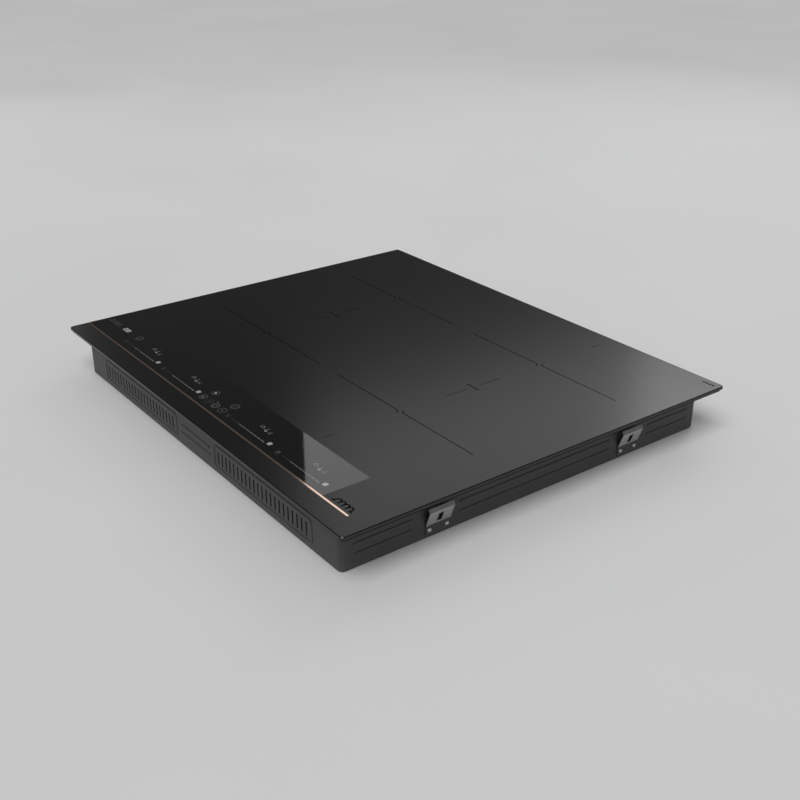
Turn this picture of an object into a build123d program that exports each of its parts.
from build123d import *
import os

# Built-in induction hob, sixty centimetres wide, in millimetres.
# X runs to the user's right, Y away from the user, Z up. The origin is on the plane that the
# casing stands on, straight below the centre of the glass.

# ---- overall ----
glass_width = 600.0
glass_depth = 510.0
glass_thickness = 4.0
glass_corner = 4.0
glass_bevel = 0.7
total_height = 56.0
glass_underside = total_height - glass_thickness

# ---- sealing tape, and the steel frame glued under the glass ----
gasket_height = 2.0
gasket_width = 7.0
gasket_inset = 2.0
glue_height = 0.5
glue_width = 8.0
sheet = 1.0
frame_top = glass_underside - glue_height
frame_flange = 14.0
frame_leg_bottom = 40.0
frame_gap = 0.1

# ---- steel casing, for a worktop cut-out of 560 x 490 ----
pan_width = 552.0
pan_depth = 482.0
pan_corner = 6.0
pan_fold = 2.0
pan_top = 51.2
wall_x = pan_width / 2
wall_y = pan_depth / 2
frame_outer_width = pan_width - 2 * (sheet + frame_gap)
frame_outer_depth = pan_depth - 2 * (sheet + frame_gap)

# ---- cooking zones: two columns of two coils ----
zone_x = 136.0
zone_middle_y = 31.0
zone_pitch = 200.0
rows = {"front": -1, "rear": 1}
sides = {"left": -1, "right": 1}
coil_straight = 20.0
coil_outer = 85.5
coil_inner = 22.0
coil_turns = 12
litz_width = 4.4
former_radius = 89.0
former_bore = 12.0
former_window = (40.0, 14.0)
former_window_at = 54.0
pad_radius = 88.0
pad_neck = (60.0, 40.0)
pad_hole = 6.5
bar_length = 58.0
bar_width = 14.0
bar_start = 24.0
bars_per_coil = 8

# ---- heights of the layers, from the boards up to the glass ----
board_bottom = 8.0
board_top = 9.6
post_top = 26.0
tray_lip = 35.0
tray_bottom = 38.2
tray_top = 39.4
former_bottom = 43.0
former_top = 45.0
winding_top = 49.0

# ---- trays that carry the coils, on posts with loop springs ----
tray_width = 224.0
tray_front = -165.0
tray_back = 225.0
tray_posts = ((34, -155), (238, -155), (34, 31), (238, 31), (79.5, 150), (238, 215))
post_radius = 4.5
spring_sheet = 0.7
spring_width = 8.0

# ---- copper line let into the glass ----
trim_y = -230.0
trim_width = 2.2
trim_end_x = 273.5
trim_depth = 0.6
trim_gap = 0.05

# ---- touch control under the front edge of the glass ----
touch_width = 464.0
touch_front = -222.0
touch_back = -180.0
touch_bottom = 45.0
touch_top = 46.2
carrier_bottom = 41.0
carrier_legs_x = (-210.0, -70.0, 70.0, 210.0)
display_x = (-162.5, -63.0, 87.5, 186.5)
slider_x = (-172.5, -73.5, 77.0, 176.0)
slider_pads = 7
slider_pad_pitch = 9.5
slider_y = -216.0
key_x = (-212.0, -21.0, 0.0, 21.0)
key_y = -202.0

# ---- blowers, drawing air in through the floor and blowing it forwards ----
blower_x = 136.0
blower_y = 168.0
blower_bottom = 1.0
blower_top = 31.0
blower_wall = 1.5
scroll_radii = (50.0, 47.0, 44.0)
outlet_reach = 52.0
outlet_inner_x = 10.0
inlet_radius = 31.0
rotor_radius = 36.0
rotor_bottom = 4.5
rotor_top = 26.5
blade_count = 31
blade_depth = 6.0
blade_turn = 35.0
shaft_radius = 1.5
shaft_fit = 0.05
stator_radius = 13.0

# ---- power electronics ----
board_x = (44.0, 228.0)
board_y = (-180.0, 100.0)
sink_x = (146.0, 188.0)
sink_y = (40.0, 110.0)
sink_base = 3.5
sink_top = 34.0
fin_pitch = 5.0
fin_sheet = 1.5
capacitor_blocks = (  # x, y, width, depth, height
    (76, 70, 42, 24, 22),
    (76, 40, 42, 18, 20),
    (78, 0, 32, 14, 22),
    (78, -22, 32, 14, 22),
    (190, -60, 42, 28, 24),
    (130, -60, 32, 18, 20),
)
filter_board_x = 70.0
filter_board_y = (104.0, 178.0)

# ---- mains terminals in the rear wall, behind a hinged cover ----
term_x = (-52.0, 78.0)
term_front = 184.0
term_back = 239.5
term_bottom = 1.2
term_top = 34.0
term_wall = 1.6
window_x = 48.5
window_bottom = 3.0
window_top = 33.0
cover_x = 42.0
cover_top = 32.4
cover_sheet = 2.0
hinge_y = 239.2
hinge_z = 6.0
hinge_pin = 1.5
hinge_barrel = 1.8
hinge_ear = 2.6
ear_x = (42.4, 46.4)
terminal_pitch = 11.0
terminal_count = 6
terminal_y = (196.0, 216.0)
terminal_z = (2.8, 22.8)
inlet_x = 63.0
inlet_z = 17.0
inlet_bore = 6.5
inlet_neck = 9.0
inlet_flange = 12.0
inlet_length = 8.0

# ---- spring clips on the side walls ----
clip_y = 130.0
clip_width = 30.0
clip_sheet = 0.85
clip_foot = (4.0, 14.0)
clip_foot_sheet = 1.2
clip_stand_off = 0.4
clip_leaf_bottom = 14.3
clip_nose = (6.2, 31.0)
clip_tip = (4.4, 35.0)

# ---- screws through the casing walls into the frame ----
screw_shank = 1.45
screw_hole = 1.8
thread_hole = 1.5
screw_head = 3.4
screw_head_height = 1.8
screw_length = 6.0
screw_z = 45.0
wall_screws_x = (-240.0, -80.0, 80.0, 240.0)
wall_screws_y = (-190.0, 0.0, 190.0)


# ---------------------------------------------------------------- shapes used throughout

def box(low, high):
    """A block from its lowest corner to its highest."""
    size = [b - a for a, b in zip(low, high)]
    centre = [(a + b) / 2 for a, b in zip(low, high)]
    return Pos(*centre) * Box(*size)


def disc(radius, bottom, top, x=0.0, y=0.0):
    return extrude(Pos(x, y, bottom) * Circle(radius), top - bottom)


def tube(outer, inner, bottom, top, x=0.0, y=0.0):
    return disc(outer, bottom, top, x, y) - disc(inner, bottom - 1, top + 1, x, y)


def plate(width, depth, bottom, top, corner):
    """A flat plate about the vertical axis, with rounded corners."""
    return extrude(Pos(0, 0, bottom) * RectangleRounded(width, depth, corner), top - bottom)


def ring(width, depth, band, bottom, top, corner):
    """A rectangular ring, band wide, within the given outline."""
    inner = plate(width - 2 * band, depth - 2 * band, bottom - 1, top + 1, max(corner - band, 1.0))
    return plate(width, depth, bottom, top, corner) - inner


def stadium(radius, bottom, top):
    """A plate with two straight sides and two round ends, as the coils are."""
    outline = SlotCenterToCenter(2 * coil_straight, 2 * radius)
    return extrude(Pos(0, 0, bottom) * outline, top - bottom)


def rod(radius, start, direction, length):
    """A round bar from a point, along a direction."""
    return extrude(Plane(origin=start, z_dir=direction) * Circle(radius), length)


def cable(radius, points, bend):
    """A round cable along straight runs joined by arcs."""
    route = FilletPolyline(*points, radius=bend)
    section = Plane(origin=route @ 0, z_dir=route % 0) * Circle(radius)
    return sweep(section, path=route)


def group(shapes):
    """Separate solids that are one node."""
    return Compound(children=list(shapes))


def on_side(side, shape):
    """A piece drawn for the right half, mirrored for the left one."""
    return shape if sides[side] > 0 else mirror(shape, about=Plane.YZ)


def at_zone(side, row, shape):
    """A piece of one coil, moved from the origin to its cooking zone."""
    y = zone_middle_y + rows[row] * zone_pitch / 2
    return Pos(sides[side] * zone_x, y, 0) * shape


def save(name, shape):
    export_step(shape, f"parts/{name}.step")


# ---------------------------------------------------------------- glass and its edge

def trim_bar(width, left, right, bottom, top):
    """A bar along the front edge, square at its left end and round at its right one."""
    bar = box((left, trim_y - width / 2, bottom), (right, trim_y + width / 2, top))
    return bar + disc(width / 2, bottom, top, right, trim_y)


def make_glass():
    """Ceramic glass with bevelled edges and a shallow groove that runs out at its left edge."""
    glass = plate(glass_width, glass_depth, glass_underside, total_height, glass_corner)
    faces = glass.faces().sort_by(Axis.Z)
    glass = chamfer(faces[0].edges() + faces[-1].edges(), glass_bevel)
    right = trim_end_x - trim_width / 2
    width = trim_width + 2 * trim_gap
    return glass - trim_bar(width, -glass_width / 2 - 1, right, total_height - trim_depth, total_height + 1)


def make_trim():
    left = -glass_width / 2 + glass_bevel
    return trim_bar(trim_width, left, trim_end_x - trim_width / 2, total_height - trim_depth, total_height)


def make_gasket():
    width = glass_width - 2 * gasket_inset
    depth = glass_depth - 2 * gasket_inset
    return ring(width, depth, gasket_width, glass_underside - gasket_height, glass_underside, glass_corner)


def make_frame():
    """An angle ring: a flange glued under the glass, and a leg that the casing screws to."""
    flange = ring(frame_outer_width, frame_outer_depth, frame_flange,
                  frame_top - sheet, frame_top, pan_corner - sheet)
    leg = ring(frame_outer_width, frame_outer_depth, sheet, frame_leg_bottom, frame_top, pan_corner - sheet)
    return flange + leg - [rod(thread_hole, p, d, screw_length) for p, d in wall_screw_places()]


def make_glue():
    inset = 2 * 3.0
    return ring(frame_outer_width - inset, frame_outer_depth - inset, glue_width,
                frame_top, glass_underside, pan_corner)


# ---------------------------------------------------------------- casing

def wall_screw_places():
    """Where each casing screw meets the outside of a wall, and which way it points."""
    places = [((x, s * wall_y, screw_z), (0, -s, 0)) for s in (-1, 1) for x in wall_screws_x]
    places += [((s * wall_x, y, screw_z), (-s, 0, 0)) for s in (-1, 1) for y in wall_screws_y]
    return places


def inlet_grille():
    """Rings of radial slots under a blower."""
    slots = []
    for radius, count in ((9, 8), (18, 14), (27, 20)):
        slots += [loc * SlotOverall(6.5, 2.4) for loc in PolarLocations(radius, count)]
    return extrude(Pos(0, 0, -1) * Sketch(children=slots), sheet + 2)


def vent_row(xs, y, bottom, height):
    """Upright slots through the front or rear wall."""
    outline = SlotOverall(height, 2.6, rotation=90)
    slots = [Plane((x, y, bottom + height / 2), x_dir=(1, 0, 0), z_dir=(0, -1, 0)) * outline for x in xs]
    return [extrude(slot, 2 * sheet, both=True) for slot in slots]


def make_pan():
    outer = plate(pan_width, pan_depth, 0, pan_top, pan_corner)
    outer = fillet(outer.faces().sort_by(Axis.Z)[0].edges(), pan_fold)
    inner = plate(pan_width - 2 * sheet, pan_depth - 2 * sheet, sheet, pan_top + 1, pan_corner - sheet)
    inner = fillet(inner.faces().sort_by(Axis.Z)[0].edges(), pan_fold - sheet)
    pan = outer - inner
    pan -= [rod(screw_hole, p, d, 2 * sheet) for p, d in wall_screw_places()]
    pan -= [Pos(s * blower_x, blower_y, 0) * inlet_grille() for s in (-1, 1)]
    vents = [s * (52 + 8 * i) for s in (-1, 1) for i in range(22)]
    pan -= vent_row(vents, -wall_y, 12, 16)
    rear_vents = [s * (206 + 8 * i) for s in (-1, 1) for i in range(7)]
    pan -= vent_row(rear_vents, wall_y, 12, 16)
    pan -= box((-window_x, wall_y - 2 * sheet, window_bottom), (window_x, wall_y + 1, window_top))
    return pan - rod(inlet_neck, (inlet_x, wall_y + 1, inlet_z), (0, -1, 0), 3 * sheet)


def make_casing_screws():
    """Pan-head screws with a cross recess in each head."""
    head = disc(screw_head, -screw_head_height, 0)
    head = fillet(head.edges().group_by(Axis.Z)[0], 0.9)
    recess = extrude(Pos(0, 0, -screw_head_height) * (Rectangle(3.6, 0.8) + Rectangle(0.8, 3.6)), 1.0)
    screw = head + disc(screw_shank, 0, screw_length) - recess
    return group(Plane(origin=p, z_dir=d) * screw for p, d in wall_screw_places())


# ---------------------------------------------------------------- coils

def spiral_edges(offset_out):
    """One side of the litz: half turns about two centres, each half a pitch wider than the last."""
    step = (coil_outer - coil_inner) / (2 * coil_turns)
    radius = coil_inner + offset_out
    edges = []
    for turn in range(coil_turns):
        edges.append(CenterArc((coil_straight, 0), radius, -90, 180))
        edges.append(Line((coil_straight, radius), (-coil_straight, radius)))
        edges.append(CenterArc((-coil_straight, -step), radius + step, 90, 180))
        radius += 2 * step
        edges.append(Line((-coil_straight, -radius), (coil_straight, -radius)))
    return edges


def make_winding():
    """Flat spiral of litz, lying on its former."""
    inner, outer = spiral_edges(-litz_width / 2), spiral_edges(litz_width / 2)
    ends = [Line(inner[0] @ 0, outer[0] @ 0), Line(inner[-1] @ 1, outer[-1] @ 1)]
    face = make_face(inner + outer + ends)
    return extrude(Pos(0, 0, former_top) * face, winding_top - former_top)


def make_former():
    """Plate under the winding, with a bore for the sensor and windows between its arms."""
    former = stadium(former_radius, former_bottom, former_top)
    former -= disc(former_bore, former_bottom - 1, former_top + 1)
    window = Pos(0, 0, former_bottom - 1) * SlotOverall(*former_window)
    window = Pos(former_window_at, 0, 0) * extrude(window, 4)
    return former - [Rot(0, 0, 22.5 + 45 * k) * window for k in range(8)]

def make_ferrites():
    """Radial bars between the tray and the former."""
    bars = []
    for k in range(bars_per_coil):
        bar = box((bar_start, -bar_width / 2, tray_top),
                  (bar_start + bar_length, bar_width / 2, former_bottom))
        bars.append(Rot(0, 0, k * 360 / bars_per_coil) * bar)
    return group(bars)


def make_pad(side):
    """One insulating sheet over both coils of a side, pressed against the glass."""
    lobe = SlotCenterToCenter(2 * coil_straight, 2 * pad_radius)
    outline = [Pos(0, s * zone_pitch / 2) * lobe for s in (-1, 1)]
    neck = Rectangle(*pad_neck)
    holes = [Pos(0, s * zone_pitch / 2) * Circle(pad_hole) for s in (-1, 1)]
    face = outline[0] + outline[1] + neck - holes
    place = Pos(sides[side] * zone_x, zone_middle_y, winding_top)
    return extrude(place * face, glass_underside - winding_top)


def make_sensor():
    """Sensor holder in the former's bore, with a stem that reaches the glass."""
    return disc(former_bore, former_bottom, former_top) + disc(5, former_top, glass_underside)


def make_tray():
    """Aluminium tray with its rim folded down, and a slot for the leads."""
    x = (zone_x - tray_width / 2, zone_x + tray_width / 2)
    tray = box((x[0], tray_front, tray_lip), (x[1], tray_back, tray_top))
    thickness = tray_top - tray_bottom
    tray -= box((x[0] + thickness, tray_front + thickness, tray_lip - 1),
                (x[1] - thickness, tray_back - thickness, tray_bottom))
    slot = Pos(zone_x - 20, zone_middle_y, tray_bottom - 1) * RectangleRounded(60, 18, 4)
    return tray - extrude(slot, 4)


def make_tray_posts():
    posts = [tube(post_radius, 1.6, sheet, post_top, s * x, y) for s in (-1, 1) for x, y in tray_posts]
    return group(posts)


def make_tray_springs():
    """Loops of spring strip between the posts and the trays, open at one side."""
    radius = (tray_bottom - post_top) / 2
    loop = Circle(radius) - Circle(radius - spring_sheet) - Pos(radius, 0) * Rectangle(radius, 3)
    springs = []
    for s in (-1, 1):
        for x, y in tray_posts:
            plane = Plane((s * x, y, post_top + radius), x_dir=(s, 0, 0), z_dir=(0, -s, 0))
            springs.append(extrude(plane * loop, spring_width / 2, both=True))
    return group(springs)


def make_coil_leads():
    """Two insulated leads from each coil, through the tray's slot and down to the power board."""
    leads = []
    for s in (-1, 1):
        for row, gap in ((-1, 0), (1, 16)):
            start_y = zone_middle_y + row * (zone_pitch / 2 - former_radius + 0.3)
            for k in (0, 8):
                x = s * (zone_x - 36 + gap + k)
                y = zone_middle_y + row * 4.0
                points = [(x, start_y, 47), (x, y, 47), (x, y, board_top)]
                leads.append(cable(1.4, points, 5.0))
    return group(leads)


# ---------------------------------------------------------------- power electronics

def board_hole_places(xs, ys):
    inset = 6.0
    return [(x, y) for x in (xs[0] + inset, xs[1] - inset) for y in (ys[0] + inset, ys[1] - inset)]


def make_board(xs, ys):
    """Circuit board with a fixing hole near each corner."""
    board = box((xs[0], ys[0], board_bottom), (xs[1], ys[1], board_top))
    return board - [disc(1.8, board_bottom - 1, board_top + 1, x, y) for x, y in board_hole_places(xs, ys)]


def make_standoffs():
    """Hollow stand-offs under the three boards."""
    places = board_hole_places((-filter_board_x, filter_board_x), filter_board_y)
    for x, y in board_hole_places(board_x, board_y):
        places += [(x, y), (-x, y)]
    return group(tube(3.5, 1.5, sheet, board_bottom, x, y) for x, y in places)


def make_heatsink():
    """Finned extrusion along the air's path, with a thick wall for the transistors."""
    sink = box((sink_x[0], sink_y[0], board_top), (sink_x[1], sink_y[1], board_top + sink_base))
    sink += box((sink_x[0], sink_y[0], board_top), (sink_x[0] + 4, sink_y[1], sink_top))
    x = sink_x[0] + 4 + fin_pitch
    while x < sink_x[1]:
        sink += box((x - fin_sheet, sink_y[0], board_top), (x, sink_y[1], sink_top))
        x += fin_pitch
    return sink


def make_transistors():
    """Four flat packages against the heatsink's wall, each on three legs."""
    packages = []
    for k in range(4):
        y = sink_y[0] + 9 + 17.3 * k
        body = box((sink_x[0] - 5, y - 7.8, 13), (sink_x[0], y + 7.8, 33))
        legs = [box((sink_x[0] - 3, y + d - 0.6, board_top), (sink_x[0] - 2, y + d + 0.6, 13))
                for d in (-5, 0, 5)]
        packages.append(body + legs)
    return group(packages)


def make_capacitors():
    """Film capacitors standing on the power board, with rounded edges."""
    blocks = []
    for x, y, w, d, h in capacitor_blocks:
        block = box((x - w / 2, y - d / 2, board_top), (x + w / 2, y + d / 2, board_top + h))
        blocks.append(fillet(block.edges().filter_by(Axis.Z), 1.5))
    return group(blocks)


def make_chokes():
    """Two ring cores with their windings, flat on the filter board."""
    chokes = []
    for x in (-38, 38):
        core = tube(17, 8, board_top, board_top + 14, x, 140)
        chokes.append(fillet(core.edges(), 3))
    return group(chokes)


# ---------------------------------------------------------------- blowers

def scroll_face():
    """A blower's outline from above: three widening quarter turns, then a straight outlet."""
    wide, mid, narrow = scroll_radii
    floor_y = wide - mid - narrow
    mouth = -outlet_reach
    edges = [Line((wide, mouth), (wide, 0)),
             CenterArc((0, 0), wide, 0, 90),
             CenterArc((0, wide - mid), mid, 90, 90),
             CenterArc((narrow - mid, wide - mid), narrow, 180, 90),
             Line((narrow - mid, floor_y), (outlet_inner_x, floor_y)),
             Line((outlet_inner_x, floor_y), (outlet_inner_x, mouth)),
             Line((outlet_inner_x, mouth), (wide, mouth))]
    return make_face(edges)


def make_blower_housing():
    """Scroll open below for the air's way in, and at the front for its way out."""
    outline = scroll_face()
    housing = extrude(Pos(0, 0, blower_bottom) * outline, blower_top - blower_bottom)
    hollow = offset(outline, -blower_wall)
    mouth = -outlet_reach
    hollow += Pos((outlet_inner_x + scroll_radii[0]) / 2, mouth) * \
        Rectangle(scroll_radii[0] - outlet_inner_x - 2 * blower_wall, 4 * blower_wall)
    housing -= extrude(Pos(0, 0, blower_bottom + blower_wall) * hollow,
                       blower_top - blower_bottom - 2 * blower_wall)
    housing -= disc(inlet_radius, blower_bottom - 1, blower_bottom + 3)
    housing += disc(stator_radius, rotor_top + 0.8, blower_top - blower_wall)
    housing -= disc(shaft_radius, rotor_top, blower_top - blower_wall)
    return Pos(blower_x, blower_y, 0) * housing


def make_rotor():
    """Drum of forward-curved blades hanging from a back plate, on a hub with the bearing bore."""
    rim = blade_depth / 2
    rotor = disc(rotor_radius, rotor_top - 1.5, rotor_top)
    rotor += tube(rotor_radius, rotor_radius - rim, rotor_bottom, rotor_bottom + 1.5)
    rotor += disc(5, rotor_bottom + 6, rotor_top - 1)
    for k in range(blade_count):
        blade = Rot(0, 0, blade_turn) * Box(blade_depth, 0.9, rotor_top - rotor_bottom - 1)
        middle = Pos(rotor_radius - 3.2, 0, (rotor_top + rotor_bottom) / 2)
        rotor += Rot(0, 0, k * 360 / blade_count) * middle * blade
    rotor -= disc(shaft_radius + shaft_fit, rotor_bottom, rotor_top + 1)
    return Pos(blower_x, blower_y, 0) * rotor


def make_shafts():
    top = blower_top - blower_wall
    return group(disc(shaft_radius, rotor_bottom + 7, top, s * blower_x, blower_y) for s in (-1, 1))


# ---------------------------------------------------------------- mains terminals

def make_terminal_box():
    """Insulating box, open to the rear wall's window, with the two ears of the cover's hinge."""
    low = (term_x[0], term_front, term_bottom)
    high = (term_x[1], term_back, term_top)
    shell = box(low, high) - box((low[0] + term_wall, low[1] + term_wall, low[2] + term_wall),
                                 (high[0] - term_wall, high[1] + 1, high[2] - term_wall))
    slot = Plane((0, term_front, 16), x_dir=(1, 0, 0), z_dir=(0, 1, 0)) * SlotOverall(44, 8)
    shell -= extrude(slot, 3, both=True)
    for s in (-1, 1):
        x = sorted((s * ear_x[0], s * ear_x[1]))
        arm = box((x[0], 226, term_bottom + term_wall), (x[1], hinge_y, hinge_z + hinge_ear))
        arm -= box((x[0] - 1, 236, 0), (x[1] + 1, 250, hinge_z - hinge_ear))
        ear = rod(hinge_ear, (x[0], hinge_y, hinge_z), (1, 0, 0), x[1] - x[0])
        bore = rod(hinge_pin + shaft_fit, (x[0] - 1, hinge_y, hinge_z), (1, 0, 0), x[1] - x[0] + 2)
        shell += arm + ear
        shell -= bore
    return shell


def make_terminal_cover():
    """Cover in the rear wall's window, turning outwards and down about pins at its lower edge."""
    cover = box((-cover_x, wall_y - cover_sheet, hinge_z), (cover_x, wall_y, cover_top))
    cover += rod(hinge_barrel, (-cover_x, hinge_y, hinge_z), (1, 0, 0), 2 * cover_x)
    cover += rod(hinge_pin, (-ear_x[1], hinge_y, hinge_z), (1, 0, 0), 2 * ear_x[1])
    for k in range(5):
        z = hinge_z + 7 + 3 * k
        cover -= box((-10, wall_y - 0.6, z), (10, wall_y + 1, z + 1))
    return cover


def terminal_xs():
    return [(k - (terminal_count - 1) / 2) * terminal_pitch for k in range(terminal_count)]


def make_terminal_block():
    """Six-way block with a screw well and a wire hole for each way."""
    half = terminal_count * terminal_pitch / 2
    block = box((-half, terminal_y[0], terminal_z[0]), (half, terminal_y[1], terminal_z[1]))
    for x in terminal_xs():
        block -= rod(3.4, (x, terminal_y[1] - 6, 17), (0, 1, 0), 8)
        block -= rod(2.4, (x, terminal_y[1] - 12, 8.5), (0, 1, 0), 14)
    return block


def make_terminal_screws():
    """Slotted screws at the bottom of the block's wells."""
    screws = []
    for x in terminal_xs():
        screw = rod(3.2, (x, terminal_y[1] - 6, 17), (0, 1, 0), 4)
        screws.append(screw - box((x - 4, terminal_y[1] - 3, 16.5), (x + 4, terminal_y[1], 17.5)))
    return group(screws)


def make_mains_wires():
    """Three wires from the block, through the box's slot and down to the filter board."""
    wires = []
    for x in (-14, 0, 14):
        points = [(x, terminal_y[0], 16), (x, 170, 16), (x, 170, board_top)]
        wires.append(cable(1.6, points, 5.0))
    return group(wires)


def make_grommet():
    """Rubber bush in the rear wall, which a mains cable would pass through."""
    back = wall_y + 3.5
    bush = rod(inlet_neck - 0.1, (inlet_x, back, inlet_z), (0, -1, 0), inlet_length)
    bush += rod(inlet_flange, (inlet_x, back, inlet_z), (0, -1, 0), back - wall_y)
    bush += rod(inlet_flange, (inlet_x, wall_y - sheet, inlet_z), (0, -1, 0), 1.6)
    return bush - rod(inlet_bore, (inlet_x, back + 1, inlet_z), (0, -1, 0), inlet_length + 2)


# ---------------------------------------------------------------- touch control

def make_touch_board():
    half = touch_width / 2
    return box((-half, touch_front, touch_bottom), (half, touch_back, touch_top))


def make_touch_carrier():
    """Plastic trough under the touch board, on legs that stand on the casing's floor."""
    half = touch_width / 2
    rim = 2.0
    carrier = box((-half, touch_front, carrier_bottom), (half, touch_back, touch_bottom))
    carrier -= box((-half + rim, touch_front + rim, carrier_bottom + 1.6),
                   (half - rim, touch_back - rim, touch_bottom + 1))
    y = (touch_front + touch_back) / 2
    for x in carrier_legs_x:
        carrier += box((x - 4, y - 6, sheet), (x + 4, y + 6, carrier_bottom))
        carrier -= box((x - 2.5, y - 4.5, sheet - 1), (x + 2.5, y + 4.5, carrier_bottom - 2))
    return carrier


def touch_spring_places():
    places = [(x, key_y) for x in key_x]
    for x in slider_x:
        middle = (slider_pads - 1) / 2
        places += [(x + (k - middle) * slider_pad_pitch, slider_y) for k in range(slider_pads)]
    return places


def make_touch_springs():
    """Contact sleeves that press against the glass under each key and slider."""
    return group(tube(3.2, 2.2, touch_top, glass_underside, x, y) for x, y in touch_spring_places())


def make_displays():
    """Lamp and digit modules on the touch board, one for each zone."""
    y = -202.5
    return group(box((x - 14, y - 5, touch_top), (x + 14, y + 5, glass_underside - 0.6)) for x in display_x)


def make_ribbon():
    """Flat cable from the touch board down to the right-hand power board."""
    y = touch_back + 9
    route = FilletPolyline((56, touch_back, 45.6), (56, y, 45.6), (56, y, board_top), radius=6)
    section = Plane(origin=route @ 0, z_dir=route % 0, x_dir=(1, 0, 0)) * Rectangle(16, 0.9)
    return sweep(section, path=route)


# ---------------------------------------------------------------- spring clips

def make_clip_feet():
    feet = []
    for s in (-1, 1):
        x = sorted((s * wall_x, s * (wall_x + clip_foot_sheet)))
        for y in (-clip_y, clip_y):
            low = (x[0], y - clip_width / 2, clip_foot[0])
            feet.append(box(low, (x[1], y + clip_width / 2, clip_foot[1])))
    return group(feet)


def make_clip_leaf(y):
    """Sprung leaf of a right-hand clip: out to a nose, then back to its tip."""
    x = wall_x + clip_stand_off
    inner = [(x, clip_leaf_bottom), (x + clip_nose[0], clip_nose[1]), (x + clip_tip[0], clip_tip[1])]
    outer = [(px + clip_sheet, pz) for px, pz in reversed(inner)]
    profile = make_face(Polyline(*inner, *outer, close=True))
    plane = Plane((0, y, 0), x_dir=(1, 0, 0), z_dir=(0, -1, 0))
    leaf = extrude(plane * profile, clip_width / 2, both=True)
    slot = box((x - 2, y - 3, 17), (x + 10, y + 3, 27))
    return leaf - slot


# ---------------------------------------------------------------- everything to its own file

def main():
    os.makedirs("parts", exist_ok=True)
    save("glass_plate", make_glass())
    save("copper_trim", make_trim())
    save("perimeter_gasket", make_gasket())
    save("adhesive_bead", make_glue())
    save("glass_frame", make_frame())
    save("base_pan", make_pan())
    save("casing_screws", make_casing_screws())
    save("tray_posts", make_tray_posts())
    save("tray_springs", make_tray_springs())
    save("coil_leads", make_coil_leads())
    save("temperature_sensors", group(at_zone(s, r, make_sensor()) for s in sides for r in rows))
    save("board_standoffs", make_standoffs())
    save("filter_board", make_board((-filter_board_x, filter_board_x), filter_board_y))
    save("filter_chokes", make_chokes())
    save("blower_shafts", make_shafts())
    save("terminal_box", make_terminal_box())
    save("terminal_cover", make_terminal_cover())
    save("terminal_block", make_terminal_block())
    save("terminal_screws", make_terminal_screws())
    save("mains_wires", make_mains_wires())
    save("cable_grommet", make_grommet())
    save("touch_board", make_touch_board())
    save("touch_carrier", make_touch_carrier())
    save("touch_springs", make_touch_springs())
    save("display_modules", make_displays())
    save("ribbon_cable", make_ribbon())
    save("clip_feet", make_clip_feet())
    for row, s in rows.items():
        leaf = make_clip_leaf(s * clip_y)
        for side in sides:
            save(f"clip_leaf_{side}_{row}", on_side(side, leaf))
    winding, former, ferrites = make_winding(), make_former(), make_ferrites()
    housing, rotor, sink = make_blower_housing(), make_rotor(), make_heatsink()
    for side in sides:
        for row in rows:
            save(f"coil_winding_{side}_{row}", at_zone(side, row, winding))
            save(f"coil_former_{side}_{row}", at_zone(side, row, former))
            save(f"ferrite_bars_{side}_{row}", at_zone(side, row, ferrites))
        save(f"insulation_pad_{side}", make_pad(side))
        save(f"coil_tray_{side}", on_side(side, make_tray()))
        save(f"power_board_{side}", on_side(side, make_board(board_x, board_y)))
        save(f"heatsink_{side}", on_side(side, sink))
        save(f"power_transistors_{side}", on_side(side, make_transistors()))
        save(f"capacitors_{side}", on_side(side, make_capacitors()))
        save(f"blower_housing_{side}", on_side(side, housing))
        save(f"blower_rotor_{side}", on_side(side, rotor))


main()
